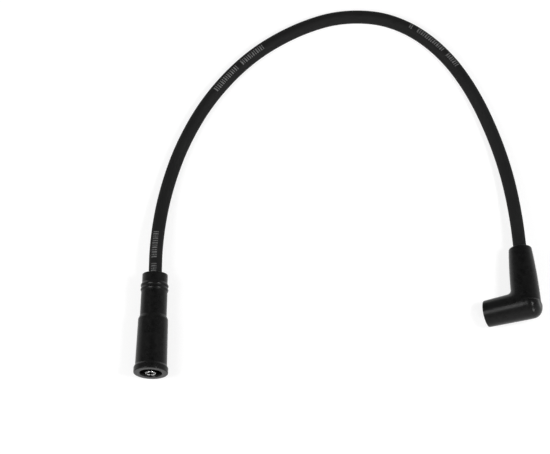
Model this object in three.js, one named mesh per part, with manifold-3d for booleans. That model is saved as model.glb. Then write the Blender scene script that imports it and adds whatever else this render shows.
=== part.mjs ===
// Spark plug wire: an ignition cable with a straight boot and its crown terminal on one
// end, and a right-angle boot with its cup terminal and spring clip on the other.
// Millimetres, +Z up. The wire lies on a floor at z = 0, and the origin is below the
// middle of the two boots.

import * as THREE from 'three';
import { mergeVertices } from 'three/addons/utils/BufferGeometryUtils.js';
import Module from 'manifold-3d';

const wasm = await Module();
wasm.setup();

// Fits that several pieces share
const fitGap = 0.3;
const cutOverrun = 1;
const sheetThickness = 0.5;

// Facets
const bootSides = 36;
const terminalSides = 24;
const cableSides = 12;
const cableSteps = 36;
const clipSides = 8;
const clipSteps = 26;
const roundingSteps = 3;
const taperSteps = 5;

// Cable
const cableDiameter = 8;
const floorGap = 0.1;

// Straight boot: lengths follow one another from its mouth to its cable end
const rimDiameter = 21;
const rimLength = 3.3;
const rimChamferLength = 1.5;
const bodyDiameter = 19.4;
const bodyEndDiameter = 18.1;
const bodyLength = 33.8;
const stepLength = 2.1;
const gripDiameter = 16.2;
const gripEndDiameter = 15.9;
const gripLength = 15.7;
const tailDiameter = 15.45;
const tailLength = 5.2;
const ribHeight = 0.5;
const ribPitch = 2.7;
const ribRise = 0.8;
const ribCount = 2;
const mouthDiameter = 13.9;
const mouthFunnelDepth = 1.4;
const towerBoreDiameter = 13.2;
const terminalSeatLength = 2;
const rimRounding = 0.4;
const bodyRounding = 0.5;
const tailRounding = 0.5;

// Crown terminal of the straight boot: its tips reach a little out of the boot's mouth
const crownDiameter = 6.4;
const crownReach = 0.2;
const crownLength = 21.3;
const crownLipDepth = 0.5;
const crownLipLength = 1.3;
const crownFingers = 6;
const crownSlotWidth = 0.7;
const crownSlotLength = 7;
const crownFlareLength = 3;
const straightCrimpLength = 14;
const crimpLead = 1.4;
const seamWidth = 1;

// Right-angle boot, from the crossing of its two axes
const plugBarrelLength = 25.7;
const plugMouthDiameter = 16.3;
const plugRootDiameter = 18.1;
const heelLength = 8.6;
const heelRounding = 5.7;
const heelLedge = 0.7;
const cableBarrelLength = 36.9;
const cableBarrelEndDiameter = 13.9;
const cableBarrelRootDiameter = 17.6;
const cableBarrelRootLength = 2.3;
const plugMouthRounding = 0.6;
const cableBarrelRounding = 0.8;
const plugBoreDiameter = 10.6;

// Cup terminal of the right-angle boot
const cupDiameter = 7.6;
const cupTop = 4.4;
const cupLength = 15;
const neckDiameter = 6.6;
const neckLength = 3.8;
const elbowCrimpLength = 13.5;

// Spring clip of the cup terminal
const clipWire = 0.7;
const clipGrip = 5;
const clipFromMouth = 5;

// Where the two boots lie: the middle of each cable end on the floor plan, and the turns
const straightExit = [-110.1, 22.9];
const straightHeading = 2.4;
const elbowExit = [109.8, 38.8];
const elbowTurn = 8;
const elbowDip = 17.9;
const elbowRoll = -6.3;

// The free cable's route between the boots, chosen by hand: x, y and how far the cable
// is lifted off the floor, as a share of the height of the boot that it leaves
const routeFromStraight = [
  [-109.5, 39.0, 0.9],
  [-107.8, 55.1, 0.62],
  [-105.0, 70.9, 0.3],
  [-100.9, 86.6, 0.08],
];
const routeOnFloor = [
  [-95.6, 101.9],
  [-88.8, 116.6],
  [-80.7, 130.6],
  [-71.1, 143.6],
  [-60.2, 155.5],
  [-47.9, 166.0],
  [-34.2, 174.8],
  [-19.4, 181.9],
  [-3.9, 186.8],
  [12.2, 188.4],
  [28.0, 186.6],
  [43.1, 180.7],
  [56.5, 171.5],
  [68.0, 159.9],
  [77.5, 146.7],
  [85.4, 132.5],
];
const routeToElbow = [
  [92.0, 117.6, 0.05],
  [97.6, 102.2, 0.16],
  [102.1, 86.6, 0.33],
  [105.5, 70.8, 0.53],
  [108.0, 54.9, 0.76],
];

// Sizes that follow from those above
const cableRadius = cableDiameter / 2;
const cableBoreRadius = cableRadius + fitGap;
const crimpRadius = cableBoreRadius + sheetThickness;
const crimpBoreRadius = crimpRadius + fitGap;

const ribsStart = bodyLength + stepLength + gripLength;
const tailStart = ribsStart + ribCount * ribPitch;
const straightBootLength = tailStart + tailLength;
const crownStart = -crownReach;
const crownFlareStart = crownStart + crownLength;
const straightCrimpStart = crownFlareStart + crownFlareLength;
const straightCrimpEnd = straightCrimpStart + straightCrimpLength;
const straightCableInsertion = straightBootLength - straightCrimpStart - crimpLead;

const cupRadius = cupDiameter / 2;
const cupMouth = cupLength - cupTop;
const clipBendRadius = cupRadius + fitGap + clipWire / 2;
const cupPocketRadius = clipBendRadius + clipWire / 2 + fitGap;
const elbowCrimpStart = cupRadius + neckLength;
const elbowCrimpEnd = elbowCrimpStart + elbowCrimpLength;
const elbowCableInsertion = cableBarrelLength - elbowCrimpStart - crimpLead;

const degrees = THREE.MathUtils.degToRad;

// A closed outline from corners [distance from the axis, distance along it, rounding]
function outline(corners) {
  const points = [];
  corners.forEach(([x, y, rounding = 0], index) => {
    const corner = new THREE.Vector2(x, y);
    const before = corners.at(index - 1);
    const after = corners[(index + 1) % corners.length];
    if (rounding === 0) {
      points.push(corner);
      return;
    }
    const back = new THREE.Vector2(before[0] - x, before[1] - y).normalize();
    const ahead = new THREE.Vector2(after[0] - x, after[1] - y).normalize();
    const half = Math.acos(THREE.MathUtils.clamp(back.dot(ahead), -1, 1)) / 2;
    const middle = back.clone().add(ahead).normalize();
    const centre = corner.clone().addScaledVector(middle, rounding / Math.sin(half));
    const start = corner.clone().addScaledVector(back, rounding / Math.tan(half)).sub(centre);
    const side = Math.sign(start.cross(corner.clone().sub(centre)));
    const sweep = side * (Math.PI - 2 * half);
    for (let step = 0; step <= roundingSteps; step += 1) {
      const turned = start.clone().rotateAround(new THREE.Vector2(), (sweep * step) / roundingSteps);
      points.push(turned.add(centre));
    }
  });
  return points;
}

// The outline turned once round the Y axis
function turned(corners, sides) {
  const points = outline(corners);
  if (THREE.ShapeUtils.area(points) < 0) {
    points.reverse();
  }
  return new THREE.LatheGeometry([...points, points[0]], sides);
}

// A geometry as a solid that can be joined and cut
function solid(geometry) {
  const bare = geometry.clone();
  bare.deleteAttribute('normal');
  bare.deleteAttribute('uv');
  const merged = mergeVertices(bare, 1e-4);
  const corners = merged.index.array;
  const kept = [];
  for (let first = 0; first < corners.length; first += 3) {
    const [a, b, c] = corners.slice(first, first + 3);
    if (a !== b && b !== c && c !== a) {
      kept.push(a, b, c);
    }
  }
  return new wasm.Manifold(new wasm.Mesh({
    numProp: 3,
    vertProperties: new Float32Array(merged.attributes.position.array),
    triVerts: new Uint32Array(kept),
  }));
}

// A solid as a geometry with one flat normal for each face
function geometryOf(body) {
  const mesh = body.getMesh();
  const geometry = new THREE.BufferGeometry();
  geometry.setAttribute('position', new THREE.BufferAttribute(mesh.vertProperties, 3));
  geometry.setIndex(new THREE.BufferAttribute(mesh.triVerts, 1));
  const faceted = geometry.toNonIndexed();
  faceted.computeVertexNormals();
  return faceted;
}

// A box between two corners
function box(low, high) {
  const size = high.map((value, axis) => value - low[axis]);
  const middle = high.map((value, axis) => (value + low[axis]) / 2);
  return new THREE.BoxGeometry(...size).translate(...middle);
}

// The materials
const rubber = { color: 0x1c1c1c, roughness: 0.5, metalness: 0 };
const jacket = { color: 0x262626, roughness: 0.7, metalness: 0 };
const steel = { color: 0xc9cbcc, roughness: 0.25, metalness: 1 };

function piece(name, body, finish) {
  const mesh = new THREE.Mesh(geometryOf(body), new THREE.MeshStandardMaterial(finish));
  mesh.name = name;
  return mesh;
}

// The straight boot's two grip ribs: steep towards the mouth, sloping towards the cable
function gripRibs() {
  const corners = [];
  for (let rib = 0; rib < ribCount; rib += 1) {
    const foot = ribsStart + rib * ribPitch;
    corners.push([gripEndDiameter / 2, foot, 0]);
    corners.push([gripEndDiameter / 2 + ribHeight, foot + ribRise, 0]);
  }
  corners.push([tailDiameter / 2, tailStart, 0]);
  return corners;
}

function straightBoot() {
  const towerBoreDepth = crownFlareStart - terminalSeatLength;
  const body = turned([
    [mouthDiameter / 2, 0, 0],
    [rimDiameter / 2, 0, rimRounding],
    [rimDiameter / 2, rimLength, bodyRounding],
    [bodyDiameter / 2, rimLength + rimChamferLength, bodyRounding],
    [bodyEndDiameter / 2, bodyLength, bodyRounding],
    [gripDiameter / 2, bodyLength + stepLength, bodyRounding],
    ...gripRibs(),
    [tailDiameter / 2, straightBootLength, tailRounding],
    [cableBoreRadius, straightBootLength, 0],
    [cableBoreRadius, straightCrimpEnd + fitGap, 0],
    [crimpBoreRadius, straightCrimpEnd + fitGap, 0],
    [crimpBoreRadius, towerBoreDepth, 0],
    [towerBoreDiameter / 2, towerBoreDepth, 0],
    [towerBoreDiameter / 2, mouthFunnelDepth, 0],
  ], bootSides);
  return piece('straight_boot', solid(body), rubber);
}

// The crown terminal: slotted spring fingers at the mouth and a crimp round the cable
function straightTerminal() {
  const crownRadius = crownDiameter / 2;
  const boreRadius = crownRadius - sheetThickness;
  const sleeve = turned([
    [boreRadius - crownLipDepth, crownStart, 0],
    [crownRadius, crownStart, sheetThickness],
    [crownRadius, crownFlareStart, 0],
    [crimpRadius, straightCrimpStart, 0],
    [crimpRadius, straightCrimpEnd, 0],
    [cableBoreRadius, straightCrimpEnd, 0],
    [cableBoreRadius, straightCrimpStart, 0],
    [boreRadius, crownFlareStart, 0],
    [boreRadius, crownStart + crownLipLength, 0],
    [boreRadius - crownLipDepth, crownStart + crownLipLength / 2, 0],
  ], terminalSides);
  let body = solid(sleeve);
  for (let slot = 0; slot < crownFingers / 2; slot += 1) {
    const cut = box(
      [-crownRadius - cutOverrun, crownStart - cutOverrun, -crownSlotWidth / 2],
      [crownRadius + cutOverrun, crownStart + crownSlotLength, crownSlotWidth / 2],
    );
    cut.rotateY(Math.PI / 2 + (slot * 2 * Math.PI) / crownFingers);
    body = body.subtract(solid(cut));
  }
  const seam = box(
    [-seamWidth / 2, straightCrimpStart, 0],
    [seamWidth / 2, straightCrimpEnd + cutOverrun, crimpRadius + cutOverrun],
  );
  return piece('straight_terminal', body.subtract(solid(seam)), steel);
}

// The cable barrel swells in a curve from its end to its root
function cableBarrelSide() {
  const corners = [];
  const endRadius = cableBarrelEndDiameter / 2;
  const rootRadius = cableBarrelRootDiameter / 2;
  const taperLength = cableBarrelLength - cableBarrelRootLength;
  for (let step = 0; step <= taperSteps; step += 1) {
    const fromEnd = (taperLength * step) / taperSteps;
    const left = 1 - step / taperSteps;
    const radius = rootRadius - (rootRadius - endRadius) * left * left;
    const rounding = step === 0 ? cableBarrelRounding : 0;
    corners.push([radius, cableBarrelLength - fromEnd, rounding]);
  }
  return corners;
}

// The right-angle boot: the plug barrel runs along -X and the cable barrel along +Y
function elbowBoot() {
  const plugBarrel = turned([
    [0, plugBarrelLength, 0],
    [plugMouthDiameter / 2, plugBarrelLength, plugMouthRounding],
    [plugRootDiameter / 2, 0, 0],
    [plugRootDiameter / 2, -heelLength, heelRounding],
    [0, -heelLength, 0],
  ], bootSides).rotateZ(Math.PI / 2);
  const cableBarrel = turned([
    [0, 0, 0],
    [0, cableBarrelLength, 0],
    ...cableBarrelSide(),
    [cableBarrelRootDiameter / 2, 0, 0],
  ], bootSides);
  const plugBore = turned([
    [0, -cupTop - fitGap, 0],
    [cupPocketRadius, -cupTop - fitGap, 0],
    [cupPocketRadius, cupMouth + fitGap, 0],
    [plugBoreDiameter / 2, cupMouth + fitGap, 0],
    [plugBoreDiameter / 2, plugBarrelLength + cutOverrun, 0],
    [0, plugBarrelLength + cutOverrun, 0],
  ], bootSides).rotateZ(Math.PI / 2);
  const cableBore = turned([
    [0, 0, 0],
    [crimpBoreRadius, 0, 0],
    [crimpBoreRadius, elbowCrimpEnd + fitGap, 0],
    [cableBoreRadius, elbowCrimpEnd + fitGap, 0],
    [cableBoreRadius, cableBarrelLength + cutOverrun, 0],
    [0, cableBarrelLength + cutOverrun, 0],
  ], bootSides);
  // The heel stands proud of the cable barrel only below a ledge near the plug's axis
  const aboveLedge = box(
    [0, heelLedge, -plugRootDiameter],
    [heelLength + cutOverrun, plugRootDiameter, plugRootDiameter],
  );
  const body = solid(plugBarrel).subtract(solid(aboveLedge)).add(solid(cableBarrel));
  return piece('elbow_boot', body.subtract(solid(plugBore)).subtract(solid(cableBore)), rubber);
}

// The cup terminal: a cup for the plug's nut, a flared neck and a crimp round the cable
function elbowTerminal() {
  const hollowRadius = cupRadius - sheetThickness;
  const neckRadius = neckDiameter / 2;
  const cup = turned([
    [0, -cupTop, 0],
    [cupRadius, -cupTop, sheetThickness],
    [cupRadius, cupMouth, 0],
    [0, cupMouth, 0],
  ], terminalSides).rotateZ(Math.PI / 2);
  const hollow = turned([
    [0, sheetThickness - cupTop, 0],
    [hollowRadius, sheetThickness - cupTop, 0],
    [hollowRadius, cupMouth + cutOverrun, 0],
    [0, cupMouth + cutOverrun, 0],
  ], terminalSides).rotateZ(Math.PI / 2);
  const neck = turned([
    [neckRadius - sheetThickness, 0, 0],
    [neckRadius, 0, 0],
    [neckRadius, cupRadius, 0],
    [crimpRadius, elbowCrimpStart, 0],
    [crimpRadius, elbowCrimpEnd, 0],
    [cableBoreRadius, elbowCrimpEnd, 0],
    [cableBoreRadius, elbowCrimpStart, 0],
    [neckRadius - sheetThickness, cupRadius, 0],
  ], terminalSides);
  const seam = box(
    [-seamWidth / 2, elbowCrimpStart, 0],
    [seamWidth / 2, elbowCrimpEnd + cutOverrun, crimpRadius + cutOverrun],
  );
  let body = solid(cup).add(solid(neck)).subtract(solid(hollow)).subtract(solid(seam));
  const windowInner = clipGrip / 2 - fitGap;
  const windowHalf = clipWire / 2 + fitGap;
  const clipPlane = clipFromMouth - cupMouth;
  for (const side of [-1, 1]) {
    const near = Math.min(side * windowInner, side * (cupRadius + cutOverrun));
    const far = Math.max(side * windowInner, side * (cupRadius + cutOverrun));
    const window = box(
      [clipPlane - windowHalf, -cupRadius, near],
      [clipPlane + windowHalf, cupRadius, far],
    );
    body = body.subtract(solid(window));
  }
  return piece('elbow_terminal', body, steel);
}

// The clip: a hairpin of spring wire round the cup, with a leg through each window
function terminalClip() {
  const legSide = (clipGrip + clipWire) / 2;
  const startAngle = Math.asin(legSide / clipBendRadius);
  const legReach = clipBendRadius * Math.cos(startAngle);
  const path = new THREE.CurvePath();
  const place = (y, z) => new THREE.Vector3(clipFromMouth - cupMouth, y, z);
  const bend = [];
  for (let step = 0; step <= clipSteps; step += 1) {
    const angle = THREE.MathUtils.lerp(startAngle, -startAngle, step / clipSteps);
    bend.push(place(-clipBendRadius * Math.cos(angle), clipBendRadius * Math.sin(angle)));
  }
  path.add(new THREE.LineCurve3(place(legReach, legSide), place(-legReach, legSide)));
  path.add(new THREE.CatmullRomCurve3(bend));
  path.add(new THREE.LineCurve3(place(-legReach, -legSide), place(legReach, -legSide)));
  return sweep('terminal_clip', path, clipWire / 2, clipSides, clipSteps, steel);
}

// A round section carried along a path
function sweep(name, path, radius, sides, steps, finish) {
  const section = new THREE.Shape();
  for (let side = 0; side < sides; side += 1) {
    const angle = (2 * Math.PI * side) / sides;
    const point = [radius * Math.cos(angle), radius * Math.sin(angle)];
    if (side === 0) {
      section.moveTo(...point);
    } else {
      section.lineTo(...point);
    }
  }
  const tube = new THREE.ExtrudeGeometry(section, { steps, extrudePath: path });
  return piece(name, solid(tube), finish);
}

// The straight boot lies on its rim, with its axis level
const straightEnd = new THREE.Group();
straightEnd.rotation.z = -degrees(straightHeading);
const straightAxis = new THREE.Vector3(0, 1, 0).applyEuler(straightEnd.rotation);
const straightEndPoint = new THREE.Vector3(...straightExit, rimDiameter / 2);
straightEnd.position.copy(straightEndPoint).addScaledVector(straightAxis, -straightBootLength);
straightEnd.add(straightBoot(), straightTerminal());

// The right-angle boot lies on the edge of its mouth, with its cable barrel sloping down
const elbowEnd = new THREE.Group();
elbowEnd.rotation.set(degrees(elbowRoll), -degrees(elbowDip), degrees(elbowTurn), 'ZYX');
const barrelAxis = new THREE.Vector3(0, 1, 0).applyEuler(elbowEnd.rotation);
const dip = degrees(elbowDip);
const mouthCentreHeight = (plugMouthDiameter / 2 - plugMouthRounding) * Math.cos(dip)
  + plugMouthRounding * (1 - Math.sin(dip));
const cornerHeight = mouthCentreHeight + plugBarrelLength * Math.sin(dip);
const elbowExitHeight = cornerHeight + cableBarrelLength * barrelAxis.z;
const elbowEndPoint = new THREE.Vector3(...elbowExit, elbowExitHeight);
elbowEnd.position.copy(elbowEndPoint).addScaledVector(barrelAxis, -cableBarrelLength);
elbowEnd.add(elbowBoot(), elbowTerminal(), terminalClip());

// The cable runs from inside one boot, along its route, to inside the other
function ignitionCable() {
  const low = cableRadius + floorGap;
  const rise = (end) => ([x, y, share]) => new THREE.Vector3(x, y, low + share * (end.z - low));
  const inside = (end, axis, depth) => end.clone().addScaledVector(axis, -depth);
  const route = [
    inside(straightEndPoint, straightAxis, straightCableInsertion),
    inside(straightEndPoint, straightAxis, straightCableInsertion / 2),
    straightEndPoint,
    ...routeFromStraight.map(rise(straightEndPoint)),
    ...routeOnFloor.map(([x, y]) => new THREE.Vector3(x, y, low)),
    ...routeToElbow.map(rise(elbowEndPoint)),
    elbowEndPoint,
    inside(elbowEndPoint, barrelAxis, elbowCableInsertion / 2),
    inside(elbowEndPoint, barrelAxis, elbowCableInsertion),
  ];
  const path = new THREE.CatmullRomCurve3(route, false, 'catmullrom', 0.5);
  return sweep('ignition_cable', path, cableRadius, cableSides, cableSteps, jacket);
}

const sparkPlugWire = new THREE.Group();
sparkPlugWire.add(ignitionCable(), straightEnd, elbowEnd);

export default sparkPlugWire;
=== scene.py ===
# %% [markdown]
# # A spark plug wire
#
# The real object is an ignition cable with a moulded rubber boot on each end. One boot is
# straight, with a slotted steel crown in its mouth. The other turns through a right angle
# and hides a steel cup. The solids come from the CAD model, which fixes every size and
# place. This lesson dresses them: each piece is a surface worked out with numpy on a grid
# of points, and each finish is a small network of procedural nodes.

import math

import bpy
import numpy as np
from mathutils import Euler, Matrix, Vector


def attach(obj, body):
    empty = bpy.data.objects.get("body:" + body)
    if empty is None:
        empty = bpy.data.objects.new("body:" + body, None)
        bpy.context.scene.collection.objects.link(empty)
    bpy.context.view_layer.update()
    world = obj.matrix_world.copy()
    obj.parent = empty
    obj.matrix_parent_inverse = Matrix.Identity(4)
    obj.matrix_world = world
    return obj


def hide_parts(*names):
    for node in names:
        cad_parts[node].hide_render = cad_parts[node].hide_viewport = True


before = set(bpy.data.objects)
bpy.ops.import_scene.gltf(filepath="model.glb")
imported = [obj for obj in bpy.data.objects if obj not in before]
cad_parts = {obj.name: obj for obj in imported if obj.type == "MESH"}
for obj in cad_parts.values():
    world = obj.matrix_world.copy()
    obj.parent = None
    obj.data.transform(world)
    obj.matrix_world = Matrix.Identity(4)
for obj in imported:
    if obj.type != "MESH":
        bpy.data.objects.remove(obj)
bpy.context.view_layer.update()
BODY = "root"
MM = 0.001
print("nodes:", sorted(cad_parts))

# %% [markdown]
# ## The camera
#
# The photograph looks steeply down on the wire, almost without perspective: the cable is
# as wide at the top of its arch as beside the boots. A long lens far away gives that look.
# The cable is the ruler. It is 8 mm across and 13.25 of the photograph's 550 pixels, so
# the frame is 332 mm wide. The straight boot's mouth is a circle almost square to a level
# axis. It shows as an ellipse, and the ratio of the ellipse's axes gives the camera's height
# above the horizon.

# %% Place the camera
CABLE_DIAMETER = 8 * MM
CABLE_PIXELS = 13.25
PHOTO_PIXELS = 550
FRAME_WIDTH = PHOTO_PIXELS * CABLE_DIAMETER / CABLE_PIXELS
CAMERA_ELEVATION = math.radians(72.5)
CAMERA_DISTANCE = 10.0
CAMERA_TARGET = np.array([-37.9, 56.3, 0.0]) * MM
SENSOR_WIDTH = 36.0

camera_data = bpy.data.cameras.new("camera")
camera_data.sensor_width = SENSOR_WIDTH
camera_data.lens = SENSOR_WIDTH * CAMERA_DISTANCE / FRAME_WIDTH
camera = bpy.data.objects.new("camera", camera_data)
bpy.context.scene.collection.objects.link(camera)
to_camera = np.array([0.0, -math.cos(CAMERA_ELEVATION), math.sin(CAMERA_ELEVATION)])
camera.location = CAMERA_TARGET + CAMERA_DISTANCE * to_camera
camera.rotation_euler = (math.pi / 2 - CAMERA_ELEVATION, 0.0, 0.0)
bpy.context.scene.camera = camera
print("frame width, mm:", round(FRAME_WIDTH / MM, 1), "lens, mm:", round(camera_data.lens))

# %% [markdown]
# ## Where the boots lie
#
# Both boots keep the places that they have in the CAD model. Each has a frame of its own:
# the straight boot's runs along +Y from its mouth to its cable end, and the right-angle
# boot's has the plug barrel along -X and the cable barrel along +Y, with the crossing of
# the two axes at its origin. A piece is shaped in its boot's frame, in millimetres, and then
# scaled to metres and placed. The right-angle boot rests with its mouth's lowest edge on the
# floor, and that gives its height.


# %% Frames of the two boots
class Placement:
    """A turn and a shift that carry points from a boot's frame to the part's frame."""

    def __init__(self, angles, origin):
        self.turn = np.array(Euler([math.radians(a) for a in angles]).to_matrix())
        self.origin = np.array(origin, float)

    def points(self, local):
        """Points in the part's frame from points in the boot's frame, both in metres."""
        return np.asarray(local) @ self.turn.T + self.origin

    def direction(self, local):
        """A direction in the part's frame."""
        return self.turn @ np.array(local, float)


STRAIGHT_LENGTH = 62.2
STRAIGHT_EXIT = np.array([-110.1, 22.9, 10.5]) * MM
STRAIGHT_HEADING = 2.4

PLUG_LENGTH, PLUG_MOUTH, MOUTH_ROUNDING = 25.7, 8.15, 0.6
BARREL_LENGTH = 36.9
ELBOW_EXIT_PLAN = np.array([109.8, 38.8]) * MM
ELBOW_TURN = 8
ELBOW_DIP = 17.9
ELBOW_ROLL = -6.3

straight_frame = Placement((0, 0, -STRAIGHT_HEADING), (0, 0, 0))
straight_axis = straight_frame.direction((0, 1, 0))
straight_frame.origin = STRAIGHT_EXIT - STRAIGHT_LENGTH * MM * straight_axis

elbow_frame = Placement((ELBOW_ROLL, -ELBOW_DIP, ELBOW_TURN), (0, 0, 0))
barrel_axis = elbow_frame.direction((0, 1, 0))
dip = math.radians(ELBOW_DIP)
mouth_height = (PLUG_MOUTH - MOUTH_ROUNDING) * math.cos(dip)
mouth_height += MOUTH_ROUNDING * (1 - math.sin(dip))
corner_height = (mouth_height + PLUG_LENGTH * math.sin(dip)) * MM
ELBOW_EXIT = np.append(ELBOW_EXIT_PLAN, corner_height + BARREL_LENGTH * MM * barrel_axis[2])
elbow_frame.origin = ELBOW_EXIT - BARREL_LENGTH * MM * barrel_axis
print("straight boot's mouth:", np.round(straight_frame.origin / MM, 2))
print("right-angle boot's corner:", np.round(elbow_frame.origin / MM, 2))

# %% [markdown]
# ## Surfaces from grids
#
# Almost every piece here is a closed ring carried along a line, so one helper serves them
# all. It takes a grid of points, one ring to a row, and joins neighbours with quads. The
# rows may close on themselves, as on a boot that is open right through, or end in a pole.
# The enclosed volume tells whether the faces look outwards, and turns them if they don't.


# %% A mesh from a grid
def surface(name, grid, closed=False, keep=None, maps=None):
    """A mesh from rows of closed rings of points.

    closed joins the last row to the first; otherwise a pole closes each end, unless keep is
    given. keep says which quads exist, and leaves the sheet open. maps are the two UV
    values of each grid point, without the closing column, which repeats 1 further on.
    """
    rows, columns = grid.shape[:2]
    index = np.arange(rows * columns).reshape(rows, columns)
    if closed:
        index = np.vstack([index, index[:1]])
    near, far = index[:-1], index[1:]
    quads = np.stack([near, np.roll(near, -1, 1), np.roll(far, -1, 1), far], axis=-1)
    if keep is not None:
        quads = quads[keep]
    quads = quads.reshape(-1, 4)
    points = grid.reshape(-1, 3)
    faces = quads.tolist()
    if not closed and keep is None:
        first, last = len(points), len(points) + 1
        points = np.vstack([points, grid[0].mean(0), grid[-1].mean(0)])
        ring = index[0]
        faces += np.stack([np.full(columns, first), np.roll(ring, -1), ring], 1).tolist()
        ring = index[-1]
        faces += np.stack([np.full(columns, last), ring, np.roll(ring, -1)], 1).tolist()
    if volume(points, quads) < 0:
        faces = [face[::-1] for face in faces]
    mesh = bpy.data.meshes.new(name)
    mesh.from_pydata(points, [], faces)
    mesh.polygons.foreach_set("use_smooth", np.ones(len(faces), bool))
    if maps is not None:
        write_map(mesh, maps)
    mesh.update()
    piece = bpy.data.objects.new(name, mesh)
    bpy.context.scene.collection.objects.link(piece)
    return piece


def volume(points, quads):
    """The volume that quads enclose, positive if they face outwards: each quad and the
    origin make two small pyramids, and their signed volumes add up."""
    a, b, c, d = (points[quads[:, corner]] for corner in range(4))
    first = np.einsum("ij,ij->i", a, np.cross(b, c))
    second = np.einsum("ij,ij->i", a, np.cross(c, d))
    return float((first + second).sum()) / 6


def write_map(mesh, maps):
    """Gives each corner of each face the map values of its point. Where a face spans the
    seam, the corners just past it take their value one full turn higher."""
    corners = np.zeros(len(mesh.loops), np.int64)
    mesh.loops.foreach_get("vertex_index", corners)
    flat = maps.reshape(-1, 2)
    flat = np.vstack([flat, flat[:1], flat[-1:]])
    values = flat[corners]
    starts = np.zeros(len(mesh.polygons), np.int64)
    mesh.polygons.foreach_get("loop_start", starts)
    owner = np.searchsorted(starts, np.arange(len(corners)), side="right") - 1
    highest = np.full(len(starts), -np.inf)
    np.maximum.at(highest, owner, values[:, 1])
    values[:, 1] += highest[owner] - values[:, 1] > 0.5
    layer = mesh.uv_layers.new(name="along_and_around")
    layer.data.foreach_set("uv", values.astype(np.float32).ravel())


def circle(columns):
    """The angles of a ring's columns, once round."""
    return np.linspace(0, 2 * math.pi, columns, endpoint=False)


# %% [markdown]
# ## The cable
#
# A cable is a fixed length of something springy. This one leaves the straight boot level,
# sinks to the floor within a hand's width, lies there through the arch, and climbs into
# the right-angle boot. Its route is the CAD model's list of points. A Catmull-Rom curve
# runs through them: on each span it is the cubic that passes through both ends, with a
# slope at each end parallel to the line between the neighbours. The jacket is then a
# circle carried along that curve, with its first column on top.

# %% The cable's route
STRAIGHT_INSERTION = 36.7 * MM
ELBOW_INSERTION = 27.9 * MM
FLOOR_GAP = 0.1 * MM
SPAN_SAMPLES = 40
ROUTE_STEP = 1 * MM

ROUTE_FROM_STRAIGHT = [
    (-109.5, 39.0, 0.9),
    (-107.8, 55.1, 0.62),
    (-105.0, 70.9, 0.3),
    (-100.9, 86.6, 0.08),
]
ROUTE_ON_FLOOR = [
    (-95.6, 101.9, 0.0),
    (-88.8, 116.6, 0.0),
    (-80.7, 130.6, 0.0),
    (-71.1, 143.6, 0.0),
    (-60.2, 155.5, 0.0),
    (-47.9, 166.0, 0.0),
    (-34.2, 174.8, 0.0),
    (-19.4, 181.9, 0.0),
    (-3.9, 186.8, 0.0),
    (12.2, 188.4, 0.0),
    (28.0, 186.6, 0.0),
    (43.1, 180.7, 0.0),
    (56.5, 171.5, 0.0),
    (68.0, 159.9, 0.0),
    (77.5, 146.7, 0.0),
    (85.4, 132.5, 0.0),
]
ROUTE_TO_ELBOW = [
    (92.0, 117.6, 0.05),
    (97.6, 102.2, 0.16),
    (102.1, 86.6, 0.33),
    (105.5, 70.8, 0.53),
    (108.0, 54.9, 0.76),
]


def lifted(stretch, end):
    """The points of a stretch in metres: the share lifts the cable from the floor, at 0,
    to the height of the boot's end, at 1."""
    low = CABLE_DIAMETER / 2 + FLOOR_GAP
    places = np.array(stretch)
    heights = low + places[:, 2] * (end[2] - low)
    return np.column_stack([places[:, :2] * MM, heights])


def smooth_line(points, spacing):
    """A Catmull-Rom curve through the points, sampled at an even spacing. On a span, a place
    is the start plus the first slope times the share, plus a square and a cubic term that
    both ends and both slopes fix. A slope is half the step between the neighbours."""
    ends = np.vstack([2 * points[0] - points[1], points, 2 * points[-1] - points[-2]])
    share = np.linspace(0, 1, SPAN_SAMPLES, endpoint=False)[None, :, None]
    before, start, end, after = (ends[k : len(ends) - 3 + k, None] for k in range(4))
    slope_in, slope_out = (end - before) / 2, (after - start) / 2
    cubic = 2 * (start - end) + slope_in + slope_out
    square = 3 * (end - start) - 2 * slope_in - slope_out
    curve = start + slope_in * share + square * share**2 + cubic * share**3
    curve = np.vstack([curve.reshape(-1, 3), points[-1]])
    along = length_along(curve)
    even = np.linspace(0, along[-1], round(along[-1] / spacing) + 1)
    return np.column_stack([np.interp(even, along, curve[:, k]) for k in range(3)])


def length_along(line):
    """The distance of each point from the line's start, measured along it."""
    steps = np.linalg.norm(np.diff(line, axis=0), axis=1)
    return np.concatenate([[0], np.cumsum(steps)])


route = np.vstack([
    STRAIGHT_EXIT - STRAIGHT_INSERTION * straight_axis,
    STRAIGHT_EXIT - STRAIGHT_INSERTION / 2 * straight_axis,
    STRAIGHT_EXIT,
    lifted(ROUTE_FROM_STRAIGHT, STRAIGHT_EXIT),
    lifted(ROUTE_ON_FLOOR, STRAIGHT_EXIT),
    lifted(ROUTE_TO_ELBOW, ELBOW_EXIT),
    ELBOW_EXIT,
    ELBOW_EXIT - ELBOW_INSERTION / 2 * barrel_axis,
    ELBOW_EXIT - ELBOW_INSERTION * barrel_axis,
])
cable_line = smooth_line(route, ROUTE_STEP)


# %% The cable's jacket
CABLE_COLUMNS = 72
CUT_EDGE = 0.06


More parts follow.
